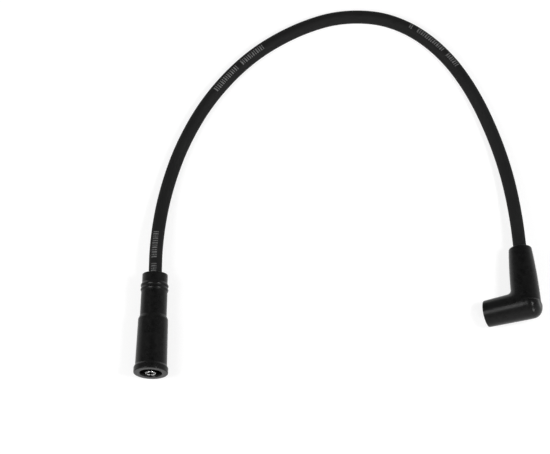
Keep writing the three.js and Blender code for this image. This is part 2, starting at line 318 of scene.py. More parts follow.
def tube(name, line, radius, columns, maps=False):
    """A circle carried along a line. At each point the side direction is square to the line
    and level, and the up direction is square to both; a ring's points are the centre plus
    the radius times up times cosine plus side times sine. Each end's ring is smaller, by the
    cut edge's share of the radius."""
    ahead = np.gradient(line, axis=0)
    ahead /= np.linalg.norm(ahead, axis=1)[:, None]
    side = np.cross(ahead, [0.0, 0.0, 1.0])
    side /= np.linalg.norm(side, axis=1)[:, None]
    up = np.cross(side, ahead)
    angle = circle(columns)[None, :, None]
    ring = np.cos(angle) * up[:, None] + np.sin(angle) * side[:, None]
    radii = np.full(len(line), radius)
    radii[[0, -1]] -= radius * CUT_EDGE
    grid = line[:, None] + radii[:, None, None] * ring
    around = np.broadcast_to(circle(columns) / (2 * math.pi), grid.shape[:2])
    along = np.broadcast_to(length_along(line)[:, None], grid.shape[:2])
    return surface(name, grid, maps=np.stack([along, around], -1) if maps else None)


cable = tube("cable_jacket", cable_line, CABLE_DIAMETER / 2, CABLE_COLUMNS, maps=True)
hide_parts("ignition_cable")
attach(cable, BODY)
print("cable faces:", len(cable.data.polygons))

# %% [markdown]
# ## Outlines with true roundings
#
# A turned or moulded part is drawn as a half section: corners with a rounding each. The
# first helper replaces each corner by an arc that touches both of its sides. Its centre lies
# on the line that halves the corner's angle, at the rounding divided by the sine of half
# that angle. The others refine an outline, turn it round an axis, and space out rows.


# %% Outline helpers
def outline(corners, steps=6):
    """The points of a closed outline from corners (distance from the axis, distance along
    it, rounding), all in millimetres; the points come out in metres."""
    places = np.array([corner[:2] for corner in corners], float)
    points = []
    for here, before, after, corner in zip(
        places, np.roll(places, 1, 0), np.roll(places, -1, 0), corners
    ):
        rounding = corner[2]
        if rounding == 0:
            points.append(here)
            continue
        back = (before - here) / np.linalg.norm(before - here)
        ahead = (after - here) / np.linalg.norm(after - here)
        half = math.acos(np.clip(back @ ahead, -1, 1)) / 2
        middle = (back + ahead) / np.linalg.norm(back + ahead)
        centre = here + middle * rounding / math.sin(half)
        start = here + back * rounding / math.tan(half) - centre
        toward = here - centre
        side = math.copysign(1, start[0] * toward[1] - start[1] * toward[0])
        for sweep in side * (math.pi - 2 * half) * np.linspace(0, 1, steps + 1):
            cosine, sine = math.cos(sweep), math.sin(sweep)
            points.append(centre + (cosine * start[0] - sine * start[1],
                                    sine * start[0] + cosine * start[1]))
    return np.array(points) * MM


def filled(points, step):
    """The closed outline with extra points wherever two neighbours are more than a step
    apart, so that long faces stay short enough to shade evenly."""
    dense = []
    for start, end in zip(points, np.roll(points, -1, 0)):
        count = max(1, math.ceil(np.linalg.norm(end - start) / step))
        dense.append(start + (end - start) * np.linspace(0, 1, count, endpoint=False)[:, None])
    return np.vstack(dense)


def turned(points, columns):
    """The outline turned once round the Y axis: x is the distance from the axis times the
    sine of the angle, z times its cosine, and y the distance along the axis."""
    angle = circle(columns)
    x = points[:, :1] * np.sin(angle)
    z = points[:, :1] * np.cos(angle)
    y = np.broadcast_to(points[:, 1:], x.shape)
    return np.stack([x, y, z], -1)


def eased(share):
    """A smooth step from 0 to 1: three times the square less twice the cube."""
    return share * share * (3 - 2 * share)


def rows_to(start, end, count):
    """Evenly spaced rows after the start, up to and with the end."""
    return np.linspace(start, end, count + 1)[1:]


# %% [markdown]
# ## The straight boot
#
# The boot is one moulding: a thick rim at its mouth, a long body that tapers a little, a
# step down to the grip, two ribs that are steep on the mouth's side, and a plain tail
# round the cable. Inside, a funnel leads to the tower bore, and a narrower bore holds the
# crimp and the cable. It is round, so the half section turned once makes all of it. Its
# sizes are radii, places along the axis from the mouth, and roundings. Only the mouth's face
# isn't square to the axis: it leans back a little, so that the picture shows more of it.

# %% Straight boot
BOOT_COLUMNS = 160
FACE_LENGTH = 1.2 * MM
EDGE, FINE_EDGE = 0.5, 0.3
RIM, RIM_END = 10.5, 3.3
BODY_RADII, BODY_START, BODY_END = (9.7, 9.05), 4.8, 33.8
GRIP, GRIP_START = 8.1, 35.9
RIB_FEET = (51.3, 53.9)
RIB_PROFILE = [(7.95, 0.0, 0.2), (8.26, 0.35, 0.3), (8.47, 1.15, 0.4)]
TAIL, TAIL_START = 7.72, 56.6
FIT = 0.3
CABLE_BORE = 4.3
CRIMP_BORE = 5.1
CRIMP_START, CRIMP_END = 24.1, 38.1
TOWER_BORE, TOWER_DEPTH = 6.6, 19.1
MOUTH, MOUTH_EDGE = 6.95, 0.25
FUNNEL_DEPTH, FUNNEL_ROUNDING = 1.4, 1.0
MOUTH_LEAN, LEAN_FADE = 3.0, 9.0 * MM


def rib_corners():
    """Each rib rises steeply from its foot, leans over to its crest, and slopes back down
    towards the cable."""
    return [
        (radius, foot + along, rounding)
        for foot in RIB_FEET
        for radius, along, rounding in RIB_PROFILE
    ]


def leant(grid):
    """The same grid with its mouth leant back: each point moves along the axis by its
    height times the tangent of the lean, less and less up to the fade's end."""
    left = eased(np.clip(1 - grid[..., 1] / LEAN_FADE, 0, 1))
    shift = math.tan(math.radians(MOUTH_LEAN)) * grid[..., 2] * left
    return grid + shift[..., None] * np.array([0.0, 1.0, 0.0])


straight_outline = outline([
    (MOUTH, 0.0, MOUTH_EDGE),
    (RIM, 0.0, EDGE),
    (RIM, RIM_END, EDGE),
    (BODY_RADII[0], BODY_START, EDGE),
    (BODY_RADII[1], BODY_END, EDGE),
    (GRIP, GRIP_START, EDGE),
    *rib_corners(),
    (TAIL, TAIL_START, FINE_EDGE),
    (TAIL, STRAIGHT_LENGTH, EDGE),
    (CABLE_BORE, STRAIGHT_LENGTH, FINE_EDGE),
    (CABLE_BORE, CRIMP_END + FIT, 0.0),
    (CRIMP_BORE, CRIMP_END + FIT, 0.0),
    (CRIMP_BORE, TOWER_DEPTH, 0.0),
    (TOWER_BORE, TOWER_DEPTH, FINE_EDGE),
    (TOWER_BORE, FUNNEL_DEPTH, FUNNEL_ROUNDING),
])
straight_grid = leant(turned(filled(straight_outline, FACE_LENGTH), BOOT_COLUMNS))
straight_boot = surface("straight_boot_skin", straight_frame.points(straight_grid), closed=True)
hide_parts("straight_boot")
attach(straight_boot, BODY)
print("straight boot faces:", len(straight_boot.data.polygons))

# %% [markdown]
# ## The right-angle boot
#
# Two round barrels meet at a right angle, with a rounded heel behind the corner, a low ledge
# across the heel, and a small fillet inside. Joining two cylinders with a boolean leaves a
# hard seam. Here the shape is a distance instead: each barrel is a formula that is negative
# inside and positive outside, and a smooth minimum of the two blends them. Rays from a bent
# centreline find where that blend is zero, so the skin is still one regular grid: the plug
# barrel's rings, then rings that turn about a pivot inside the corner, then the cable
# barrel's rings. Sizes across a barrel or a bore are radii here too.

# %% Formulas of the two barrels
PLUG_ROOT = 9.05
HEEL, HEEL_ROUNDING = 8.6, 5.7
LEDGE, LEDGE_SLOPE, LEDGE_FADE = 0.7, 0.55, 4.0
BARREL_END, BARREL_ROOT, BARREL_TAPER = 6.95, 8.8, 34.6
INNER_FILLET, CREASE = 2.4, 0.35
POCKET_RADIUS, POCKET_HEEL, POCKET_END = 5.1, 4.7, 10.9
PLUG_BORE = 5.3
ELBOW_CRIMP_END = 21.1


def plug_barrel_radius(along):
    """Straight taper from the corner to the mouth."""
    share = np.clip(along / PLUG_LENGTH, 0, 1)
    return PLUG_ROOT + (PLUG_MOUTH - PLUG_ROOT) * share


def cable_barrel_radius(along):
    """The barrel swells in a parabola from its end to its root."""
    left = np.clip(1 - (BARREL_LENGTH - along) / BARREL_TAPER, 0, 1)
    return BARREL_ROOT - (BARREL_ROOT - BARREL_END) * left**2


def blend(first, second, width):
    """Smooth minimum: the smaller value, lowered a little where the two are close."""
    share = np.clip(0.5 + 0.5 * (second - first) / width, 0, 1)
    return second + (first - second) * share - width * share * (1 - share)


def skin_distance(p):
    """How far outside the boot a point is, in millimetres. The plug barrel's distance is
    that of a rounded rectangle in its half section, which rounds the heel. Above the ledge
    it is cut away, by a smooth maximum with the height over the ledge's sloping top. On the
    mouth's side of the corner that cut rises steeply out of the way."""
    x, y, z = p[..., 0], p[..., 1], p[..., 2]
    out = np.hypot(y, z) - plug_barrel_radius(-x) + HEEL_ROUNDING
    back = x - HEEL + HEEL_ROUNDING
    corner = np.hypot(np.maximum(out, 0), np.maximum(back, 0))
    plug = corner + np.minimum(np.maximum(out, back), 0) - HEEL_ROUNDING
    beside = np.hypot(x, z)
    over = y - LEDGE + LEDGE_SLOPE * (beside - BARREL_ROOT) + LEDGE_FADE * np.minimum(x, 0)
    plug = -blend(-plug, -over, CREASE)
    barrel = np.maximum(beside - cable_barrel_radius(y), -y)
    fillet = CREASE + (INNER_FILLET - CREASE) * np.clip(-x / PLUG_ROOT, 0, 1)
    return blend(plug, barrel, fillet)


def hollow_distance(p):
    """The same for the space inside: the plug bore, the cup's pocket behind it, and the
    crimp and cable bores. It is negative in the space."""
    x, y, z = p[..., 0], p[..., 1], p[..., 2]
    plug_bore = np.where(-x > POCKET_END, PLUG_BORE, POCKET_RADIUS)
    cable_bore = np.where(y > ELBOW_CRIMP_END, CABLE_BORE, CRIMP_BORE)
    plug = np.maximum(np.hypot(y, z) - plug_bore, x - POCKET_HEEL)
    barrel = np.maximum(np.hypot(x, z) - cable_bore, -y)
    return np.minimum(plug, barrel)


# %% Rays from the bent centreline
ELBOW_COLUMNS = 180
BEND_RINGS = 181
PIVOT = 10.0
RAY_REACH = 20.0
HALVINGS = 36
END_MARGIN = 0.4
END_STEPS = 7


def bent_rings(plug_stations, turns, barrel_stations):
    """Centres and outward directions of the rings: along the plug barrel, round the pivot
    inside the corner, and along the cable barrel, in millimetres."""
    plug = [((-s, 0.0), 0.0) for s in plug_stations]
    bend = [((-PIVOT + PIVOT * math.sin(a), PIVOT - PIVOT * math.cos(a)), a) for a in turns]
    barrel = [((0.0, s), math.pi / 2) for s in barrel_stations]
    rings = plug + bend + barrel
    centres = np.array([[x, y, 0.0] for (x, y), _ in rings])
    outward = np.array([[math.sin(a), -math.cos(a), 0.0] for _, a in rings])
    return centres, outward


def ring_directions(outward, columns):
    """Unit vectors round each ring: cosine times +Z plus sine times the outward way."""
    angle = circle(columns)[None, :, None]
    return np.cos(angle) * np.array([0.0, 0.0, 1.0]) + np.sin(angle) * outward[:, None]


def cast(distance, centres, outward, columns):
    """Where each ray from a ring's centre meets the zero of a distance, by halving the
    stretch that holds it."""
    rays = ring_directions(outward, columns)
    low = np.zeros(rays.shape[:2])
    high = np.full(rays.shape[:2], RAY_REACH)
    for _ in range(HALVINGS):
        middle = (low + high) / 2
        inside = distance(centres[:, None] + middle[..., None] * rays) < 0
        low, high = np.where(inside, middle, low), np.where(inside, high, middle)
    return centres[:, None] + low[..., None] * rays


def end_rings(radius_at, bore, at, roundings, ringed):
    """Rings over the flat face at a barrel's end, from its side to its bore, with both
    edges rounded. Its outline has four corners: on the side, at the two edges, and in the
    bore. ringed makes the ring centres from the places along the barrel."""
    far = at - sum(roundings) - END_MARGIN
    corners = [
        (radius_at(far), far, 0.0),
        (radius_at(at), at, roundings[0]),
        (bore, at, roundings[1]),
        (bore, far, 0.0),
    ]
    section = outline(corners, END_STEPS)[1:-1] / MM
    centres, outward = ringed(section[:, 1])
    rings = ring_directions(outward, ELBOW_COLUMNS)
    return centres[:, None] + section[:, 0, None, None] * rings


# %% Skin of the right-angle boot
PLUG_FIRST, BARREL_LAST = 24.0, 35.2
STATION_STEP = 0.7
BORE_STEP_HALF = 0.01
INSIDE_STRIDE = 6
MOUTH_ROUNDINGS, CABLE_END_ROUNDINGS = (MOUTH_ROUNDING, 0.45), (0.8, 0.3)
PLUG_STATIONS_INSIDE = [
    PLUG_FIRST, 20.0, 16.0, 12.0, POCKET_END + BORE_STEP_HALF, POCKET_END - BORE_STEP_HALF
]
BARREL_STATIONS_INSIDE = [
    12.0, 16.0, 20.0, ELBOW_CRIMP_END - BORE_STEP_HALF, ELBOW_CRIMP_END + BORE_STEP_HALF,
    26.0, 31.0, BARREL_LAST,
]

turn_angles = np.radians(np.linspace(0, 90, BEND_RINGS))
plug_stations = np.arange(PLUG_FIRST, PIVOT, -STATION_STEP)
barrel_stations = np.arange(PIVOT + STATION_STEP, BARREL_LAST, STATION_STEP)
outer = cast(
    skin_distance, *bent_rings(plug_stations, turn_angles, barrel_stations), ELBOW_COLUMNS
)
inner = cast(
    hollow_distance,
    *bent_rings(PLUG_STATIONS_INSIDE, turn_angles[::INSIDE_STRIDE], BARREL_STATIONS_INSIDE),
    ELBOW_COLUMNS,
)
mouth_rings = end_rings(
    plug_barrel_radius, PLUG_BORE, PLUG_LENGTH, MOUTH_ROUNDINGS,
    lambda s: bent_rings(s, [], []),
)
cable_end_rings = end_rings(
    cable_barrel_radius, CABLE_BORE, BARREL_LENGTH, CABLE_END_ROUNDINGS,
    lambda s: bent_rings([], [], s),
)
elbow_grid = np.concatenate([mouth_rings[::-1], outer, cable_end_rings, inner[::-1]])
elbow_boot = surface("elbow_boot_skin", elbow_frame.points(elbow_grid * MM), closed=True)
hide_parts("elbow_boot")
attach(elbow_boot, BODY)
print("right-angle boot faces:", len(elbow_boot.data.polygons))

# %% [markdown]
# ## Sheet steel terminals
#
# Both terminals are stamped from half-millimetre steel and rolled up, so each is drawn as
# the middle of its sheet, a grid of rings with some quads left out for slots, windows and
# the open seam. Solidify gives the sheet its thickness, and a narrow Bevel breaks the
# edges, which is what catches the light on real stampings.

# %% Sheet helper
SHEET = 0.5 * MM
EDGE_BREAK, SHARPEST_CURVE = 0.07 * MM, 50


def sheet_steel(name, grid, keep):
    """A sheet of steel from the middle of its thickness."""
    piece = surface(name, grid, keep=keep)
    thickness = piece.modifiers.new("sheet", "SOLIDIFY")
    thickness.thickness = SHEET
    thickness.offset = 0
    edges = piece.modifiers.new("edges", "BEVEL")
    edges.width = EDGE_BREAK
    edges.segments = 2
    edges.limit_method = "ANGLE"
    edges.angle_limit = math.radians(SHARPEST_CURVE)
    return piece


# %% [markdown]
# ### The crown terminal
#
# Six spring fingers stand in the boot's mouth. Their tips are rolled inwards and rounded,
# so that they can enter a socket, and they are the only bright spots of the whole wire. The
# grid has sixteen columns to a finger: two lie in the slot beside it. Towards the tip the
# rows follow the finger's rounded end.

# %% Crown terminal
FINGERS = 6
FINGER_COLUMNS = 14
SLOT_COLUMNS = 2
CROWN_MIDDLE = 2.95
SLOT_WIDTH = 0.7
CROWN_TIP, SLOT_END = -0.2, 6.8
LIP_LENGTH, LIP_DEPTH, LIP_ROLL = 0.35, 0.2, 0.98
TIP_CORNER = 0.4
FLARE_START = 21.1
CRIMP_MIDDLE = 4.55
SEAM_LEAD = 1.0
FINGER_ROWS, CROWDING = 22, 1.35
TUBE_ROWS, FLARE_ROWS, CRIMP_ROWS = 9, 8, 9


def crown_angles():
    """Column angles, and each column's place across its finger from -1 to 1. A slot is
    centred on the top, and the fingers follow it round."""
    slot = SLOT_WIDTH / CROWN_MIDDLE
    finger = 2 * math.pi / FINGERS - slot
    across = np.linspace(-1, 1, FINGER_COLUMNS + 1)
    in_finger = slot / 2 + finger * (across + 1) / 2
    sector = np.concatenate([[0.0], in_finger])
    shares = np.concatenate([[1.0], across])
    starts = np.arange(FINGERS)[:, None] * 2 * math.pi / FINGERS
    return (starts + sector).ravel(), np.tile(shares, FINGERS)


def crown_radius(from_tip, along):
    """The sheet's middle: rolled in at the tip on nearly a quarter of an ellipse, straight,
    then flared to the crimp."""
    lip = np.clip(1 - from_tip / LIP_LENGTH, 0, 1)
    rolled_in = LIP_DEPTH * (1 - np.sqrt(1 - lip**2 * LIP_ROLL))
    flare = eased(np.clip((along - FLARE_START) / (CRIMP_START - FLARE_START), 0, 1))
    return CROWN_MIDDLE - rolled_in + (CRIMP_MIDDLE - CROWN_MIDDLE) * flare


def crown_terminal():
    """Rows from the tips to the end of the crimp. A tip's edge falls back from its middle by
    the fourth power of the place across, and the rows crowd towards it."""
    angles, across = crown_angles()
    tip = CROWN_TIP + TIP_CORNER * np.abs(across) ** 4
    in_fingers = np.linspace(0, 1, FINGER_ROWS) ** CROWDING
    finger_rows = tip + in_fingers[:, None] * (SLOT_END - tip)
    beyond = np.concatenate([
        rows_to(SLOT_END, FLARE_START, TUBE_ROWS),
        rows_to(FLARE_START, CRIMP_START, FLARE_ROWS),
        rows_to(CRIMP_START, CRIMP_END, CRIMP_ROWS),
    ])
    along = np.vstack([finger_rows, np.broadcast_to(beyond[:, None], (len(beyond), len(tip)))])
    radius = crown_radius(along - tip, along)
    grid = np.stack([radius * np.sin(angles), along, radius * np.cos(angles)], -1)
    in_slot = (np.arange(len(angles)) % (FINGER_COLUMNS + SLOT_COLUMNS)) == 0
    in_slot |= np.roll(in_slot, -1)
    top_seam = np.zeros_like(in_slot)
    top_seam[[0, -1]] = True
    keep = np.ones((len(along) - 1, len(angles)), bool)
    keep[: len(in_fingers) - 1, in_slot] = False
    keep[along[1:, 0] > CRIMP_START - SEAM_LEAD, :] &= ~top_seam
    return sheet_steel("crown_terminal", straight_frame.points(grid * MM), keep)


crown = crown_terminal()
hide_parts("straight_terminal")
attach(crown, BODY)
print("crown terminal faces:", len(crown.data.polygons))

# %% [markdown]
# ### The cup terminal
#
# A drawn cup takes the plug's nut, and a flared neck joins it to the crimp. Both are turned
# sheets that cross in the cup's wall. The neck's quads that would stand inside the cup are
# left out, and so are those of the two windows for the clip.

# %% Cup terminal
CUP_MIDDLE = 3.55
CUP_TOP, CUP_MOUTH = 4.15, 10.6
CUP_CORNER = 0.8
CUP_TOP_RADII = [0.02, 1.2, 2.2, CUP_MIDDLE - CUP_CORNER]
WALL_GAP, WALL_STEP = 0.4, 0.3
LEAD_IN = 0.25
NECK_MIDDLE, NECK_END = 3.05, 3.8
ELBOW_CRIMP_START = 7.6
SEAM_HALF = 0.5
CORNER_ROWS, NECK_ROWS, NECK_FLARE_ROWS = 6, 13, 11
CLIP_AT = 5.6
CLIP_LEG = 2.85
WINDOW_HALF = 0.65
TERMINAL_COLUMNS = 96


def quad_middles(grid):
    """The middle of each quad of a grid of rings."""
    middle = (grid[:-1] + grid[1:]) / 2
    return (middle + np.roll(middle, -1, 1)) / 2


def cup_sheet():
    """The cup's rows from the middle of its closed top to its mouth, along -X. Over its last
    millimetre the wall opens by the lead-in, with the square of the place."""
    bend = rows_to(0, math.pi / 2, CORNER_ROWS)
    radii = np.concatenate([
        CUP_TOP_RADII,
        CUP_MIDDLE - CUP_CORNER + CUP_CORNER * np.sin(bend),
    ])
    along = np.concatenate([
        np.full(len(CUP_TOP_RADII), -CUP_TOP),
        -CUP_TOP + CUP_CORNER - CUP_CORNER * np.cos(bend),
    ])
    straight = np.arange(along[-1] + WALL_GAP, CUP_MOUTH, WALL_STEP)
    flare = LEAD_IN * np.clip(straight - CUP_MOUTH + 1, 0, 1) ** 2
    radii = np.concatenate([radii, CUP_MIDDLE + flare])
    along = np.concatenate([along, straight])
    angle = circle(TERMINAL_COLUMNS)
    grid = np.stack([
        np.broadcast_to(-along[:, None], (len(along), len(angle))),
        radii[:, None] * np.cos(angle),
        radii[:, None] * np.sin(angle),
    ], -1)
    middle = quad_middles(grid)
    window = np.abs(middle[..., 0] + CLIP_AT) < WINDOW_HALF
    window &= np.abs(middle[..., 2]) > CLIP_LEG - WINDOW_HALF
    return elbow_frame.points(grid * MM), ~window


def neck_sheet():
    """The neck and crimp, turned round the cable barrel's axis, with the seam on top."""
    along = np.concatenate([
        [0.0],
        rows_to(0, NECK_END, NECK_ROWS),
        rows_to(NECK_END, ELBOW_CRIMP_START, NECK_FLARE_ROWS),
        rows_to(ELBOW_CRIMP_START, ELBOW_CRIMP_END, CRIMP_ROWS),
    ])
    share = np.clip((along - NECK_END) / (ELBOW_CRIMP_START - NECK_END), 0, 1)
    radii = NECK_MIDDLE + (CRIMP_MIDDLE - NECK_MIDDLE) * eased(share)
    angle = circle(TERMINAL_COLUMNS) + math.pi / TERMINAL_COLUMNS
    grid = np.stack([
        radii[:, None] * np.sin(angle),
        np.broadcast_to(along[:, None], (len(along), len(angle))),
        radii[:, None] * np.cos(angle),
    ], -1)
    middle = quad_middles(grid)
    in_cup = np.hypot(middle[..., 1], middle[..., 2]) < CUP_MIDDLE
    seam = (middle[..., 2] > 0) & (np.abs(middle[..., 0]) < SEAM_HALF)
    seam &= middle[..., 1] > ELBOW_CRIMP_START
    return elbow_frame.points(grid * MM), ~(in_cup | seam)


cup = sheet_steel("cup_terminal", *cup_sheet())
neck = sheet_steel("cup_terminal_neck", *neck_sheet())
for piece in (cup, neck):
    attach(piece, BODY)
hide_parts("elbow_terminal")
print("cup terminal faces:", len(cup.data.polygons) + len(neck.data.polygons))

# %% [markdown]
# ### The spring clip
#
# A hairpin of hard wire grips the plug's nut: two straight legs through the cup's windows,
# joined by a bend round the back of the cup. Its line is two straight stretches and an arc
# of the bend's radius, and a small circle carried along it makes the wire.

# %% Spring clip
WIRE_RADIUS, WIRE_COLUMNS, WIRE_TIP = 0.35, 20, 0.6
CLIP_BEND = 4.45
BEND_POINTS, LEG_POINTS = 40, 24


def clip_line():
    """The hairpin's middle line in the right-angle boot's frame, in millimetres."""
    start = math.asin(CLIP_LEG / CLIP_BEND)
    reach = CLIP_BEND * math.cos(start)
    arc = np.linspace(start, -start, BEND_POINTS)
    leg = np.linspace(reach, -reach, LEG_POINTS)
    y = np.concatenate([leg, -CLIP_BEND * np.cos(arc)[1:-1], leg[::-1]])
    z = np.concatenate([
        np.full(len(leg), CLIP_LEG),
        CLIP_BEND * np.sin(arc)[1:-1],
        np.full(len(leg), -CLIP_LEG),
    ])
    return np.column_stack([np.full(len(y), -CLIP_AT), y, z])


def wire(name, line, radius, columns):
    """A circle carried along a flat line in a plane of constant x: one direction of the
    ring is the x axis, and the other is square to it and to the line."""
    ahead = np.gradient(line, axis=0)
    ahead /= np.linalg.norm(ahead, axis=1)[:, None]
    flat = np.array([1.0, 0.0, 0.0])
    side = np.cross(ahead, flat)
    angle = circle(columns)[None, :, None]
    ring = np.cos(angle) * flat + np.sin(angle) * side[:, None]
    radii = np.full(len(line), radius)
    radii[[0, -1]] *= WIRE_TIP
    return surface(name, elbow_frame.points((line[:, None] + radii[:, None, None] * ring) * MM))


clip = wire("spring_clip", clip_line(), WIRE_RADIUS, WIRE_COLUMNS)
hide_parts("terminal_clip")
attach(clip, BODY)
print("clip faces:", len(clip.data.polygons))

# %% [markdown]
# ## Writing shaders as sums
#
# A node network is easier to read as an expression. This class wraps a socket, so that
# adding or multiplying two of them makes the Math node that does it. Every other node comes
# from one method, which takes the node's type, its settings and its inputs.


# %% Shader helper
class Wire:
    """A socket that takes part in sums."""

    def __init__(self, finish, socket):
        self.finish = finish
        self.socket = socket

    def math(self, operation, *values):
        inputs = dict(enumerate(values))
        return self.finish.node("ShaderNodeMath", {"operation": operation}, inputs)

    def __add__(self, other):
        return self.math("ADD", self, other)

    def __sub__(self, other):
        return self.math("SUBTRACT", self, other)

    def __mul__(self, other):
        return self.math("MULTIPLY", self, other)

    def __gt__(self, other):
        return self.math("GREATER_THAN", self, other)

    def __lt__(self, other):
        return self.math("LESS_THAN", self, other)

    def fraction(self):
        return self.math("FRACT", self)

    def size(self):
        return self.math("ABSOLUTE", self)


class Finish:
    """The node network of a material, or of the world, and its shader."""

    def __init__(self, owner, shader="Principled BSDF"):
        owner.use_nodes = True
        self.owner = owner
        self.tree = owner.node_tree
        self.shader = self.tree.nodes[shader]

    def node(self, kind, settings=None, inputs=None, output=0):
        """Adds a node and gives one of its outputs, by number or by name."""
        made = self.tree.nodes.new(kind)
        for name, value in (settings or {}).items():
            setattr(made, name, value)
        for name, value in (inputs or {}).items():
            self.feed(made.inputs[name], value)
        return Wire(self, made.outputs[output])

    def feed(self, socket, value):
        if isinstance(value, Wire):
            self.tree.links.new(value.socket, socket)
        else:
            socket.default_value = value

    def set(self, **values):
        """Feeds the shader's inputs, with an underscore for each space in a name."""
        for name, value in values.items():
            self.feed(self.shader.inputs[name.replace("_", " ")], value)

    def noise(self, vector, scale, detail=3.0, roughness=0.55):
        return self.node(
            "ShaderNodeTexNoise", {"normalize": True},
            {"Vector": vector, "Scale": scale, "Detail": detail, "Roughness": roughness},
        )

    def ramp(self, value, low, high, to_low=0.0, to_high=1.0):
        """The value stretched so that low becomes to_low and high becomes to_high."""
        return self.node(
            "ShaderNodeMapRange", {"clamp": True},
            {"Value": value, "From Min": low, "From Max": high,
             "To Min": to_low, "To Max": to_high},
        )

    def mix(self, share, first, second):
        """A colour between two colours. A Mix node has sockets for every kind of value, so
        they are chosen by number: 6 and 7 are its colours, and output 2 the result."""
        return self.node(
            "ShaderNodeMix", {"data_type": "RGBA"}, {0: share, 6: first, 7: second}, output=2
        )

    def bump(self, height, distance, strength=1.0, normal=None):
        """A normal from a height of 0 to 1 that stands for the distance in metres."""
        inputs = {"Height": height, "Distance": distance, "Strength": strength}
        if normal is not None:
            inputs["Normal"] = normal
        return self.node("ShaderNodeBump", {}, inputs)

    def object_place(self):
        return self.node("ShaderNodeTexCoord", output="Object")

    def scaled(self, vector, scale):
        return self.node("ShaderNodeMapping", {}, {"Vector": vector, "Scale": scale})


def grey(value, tint=(1.0, 1.0, 1.0)):
    """A linear colour from a screen grey from 0 to 255."""
    share = value / 255
    linear = share / 12.92 if share <= 0.04045 else ((share + 0.055) / 1.055) ** 2.4
    return (linear * tint[0], linear * tint[1], linear * tint[2], 1.0)


# %% [markdown]
# ## Moulded rubber
#
# The boots are black rubber with the satin skin that a mould leaves. Its colour is nearly
# even, with a faint mottle. Its gloss isn't: the skin is a little duller in patches, where
# a thin pale bloom sits. Two bumps give the relief, a slow waviness and a fine grain.

# %% Boot rubber
def boot_rubber():
    finish = Finish(bpy.data.materials.new("boot_rubber"))
    place = finish.object_place()
    patches = finish.noise(place, 90.0, detail=4.0)
    grain = finish.noise(place, 2600.0, detail=2.0, roughness=0.6)
    waves = finish.noise(place, 240.0, detail=2.0)
    bloom = finish.ramp(patches, 0.45, 0.75, 0.0, 0.5)
    specks = finish.ramp(grain, 0.66, 0.8, 0.0, 0.35)
    mottle = finish.ramp(finish.noise(place, 420.0, detail=3.0), 0.35, 0.65)
    colour = finish.mix(mottle, grey(11), grey(20))
    colour = finish.mix(bloom, colour, grey(22, (1.0, 1.0, 0.98)))
    colour = finish.mix(specks, colour, grey(34))
    relief = finish.bump(waves, 0.08 * MM, 0.25)
    relief = finish.bump(grain, 0.02 * MM, 0.5, relief)
    finish.set(
        Base_Color=colour,
        Roughness=finish.ramp(patches, 0.3, 0.7, 0.22, 0.29) + grain * 0.05,
        Specular_IOR_Level=0.15,
        Normal=relief,
    )
    return finish.owner


rubber = boot_rubber()
straight_boot.data.materials.append(rubber)
elbow_boot.data.materials.append(rubber)
print("boot rubber nodes:", len(rubber.node_tree.nodes))

# %% [markdown]
# ## The extruded jacket
#
# Silicone is duller than the boots, and the die leaves faint streaks along it. The streaks
# need coordinates that follow the cable, so they read its own map: metres along it, and
# turns around it. The same map places the print: a plain row of pale bars, like the marks
# of a ruler, in three places along the cable.

# %% Cable jacket
JACKET_GREY = 25
JACKET_SPECULAR = 0.12
PRINT_GREY = 108
PRINT_PLACES = [(50.3, -0.043, 26.5), (181.7, -0.015, 41.0), (315.1, -0.056, 38.0)]
PRINT_HEIGHT = 0.135
PRINT_PITCH = 2.9 * MM
THICK_BAR, THIN_BAR = 0.32, (0.54, 0.74)
PAIRS_TO_A_GAP = 8


def print_mask(finish, along, around):
    """Bars of ink on each stretch: a thick and a thin one to the pitch, with every eighth
    pair left out. A stretch is a distance along, a turn around, and a length. Turns count
    from the top, so half a turn is added and taken off again to keep them about zero."""
    wrapped = (around + 0.5).fraction() - 0.5
    step = along * (1 / PRINT_PITCH)
    share = step.fraction()
    bars = (share < THICK_BAR) + (share > THIN_BAR[0]) * (share < THIN_BAR[1])
    group = (step * (1 / PAIRS_TO_A_GAP)).fraction()
    bars = bars * (group < (PAIRS_TO_A_GAP - 1) / PAIRS_TO_A_GAP)
    stretches = 0.0
    for middle, turn, length in PRINT_PLACES:
        beside = (along - middle * MM).size() < length / 2 * MM
        level = (wrapped - turn).size() < PRINT_HEIGHT / 2
        stretches = beside * level + stretches
    return stretches * bars


def cable_jacket():
    finish = Finish(bpy.data.materials.new("cable_jacket"))
    place = finish.object_place()
    mapped = finish.node("ShaderNodeUVMap", {"uv_map": "along_and_around"})
    split = finish.node("ShaderNodeSeparateXYZ", {}, {0: mapped}).socket.node
    along, around = Wire(finish, split.outputs["X"]), Wire(finish, split.outputs["Y"])
    streaks = finish.noise(finish.scaled(mapped, (14.0, 60.0, 1.0)), 1.0, detail=4.0)
    grain = finish.noise(place, 3200.0, detail=2.0, roughness=0.6)
    cloud = finish.noise(place, 60.0, detail=3.0)
    streaked = finish.ramp(streaks, 0.35, 0.65)
    colour = finish.mix(streaked, grey(JACKET_GREY - 3), grey(JACKET_GREY + 2))
    clouded = finish.ramp(cloud, 0.45, 0.7, 0.0, 0.4)
    colour = finish.mix(clouded, colour, grey(JACKET_GREY + 6))
    ink = print_mask(finish, along, around)
    worn = finish.ramp(finish.noise(place, 1500.0, detail=3.0), 0.38, 0.6, 0.35, 0.95)
    colour = finish.mix(ink * worn, colour, grey(PRINT_GREY))
    relief = finish.bump(streaks, 0.05 * MM, 0.3)
    relief = finish.bump(grain, 0.03 * MM, 0.5, relief)
    finish.set(
        Base_Color=colour,
        Roughness=finish.ramp(streaks, 0.3, 0.7, 0.62, 0.74) - ink * 0.12,
        Specular_IOR_Level=JACKET_SPECULAR,
        Normal=relief,
    )
    return finish.owner


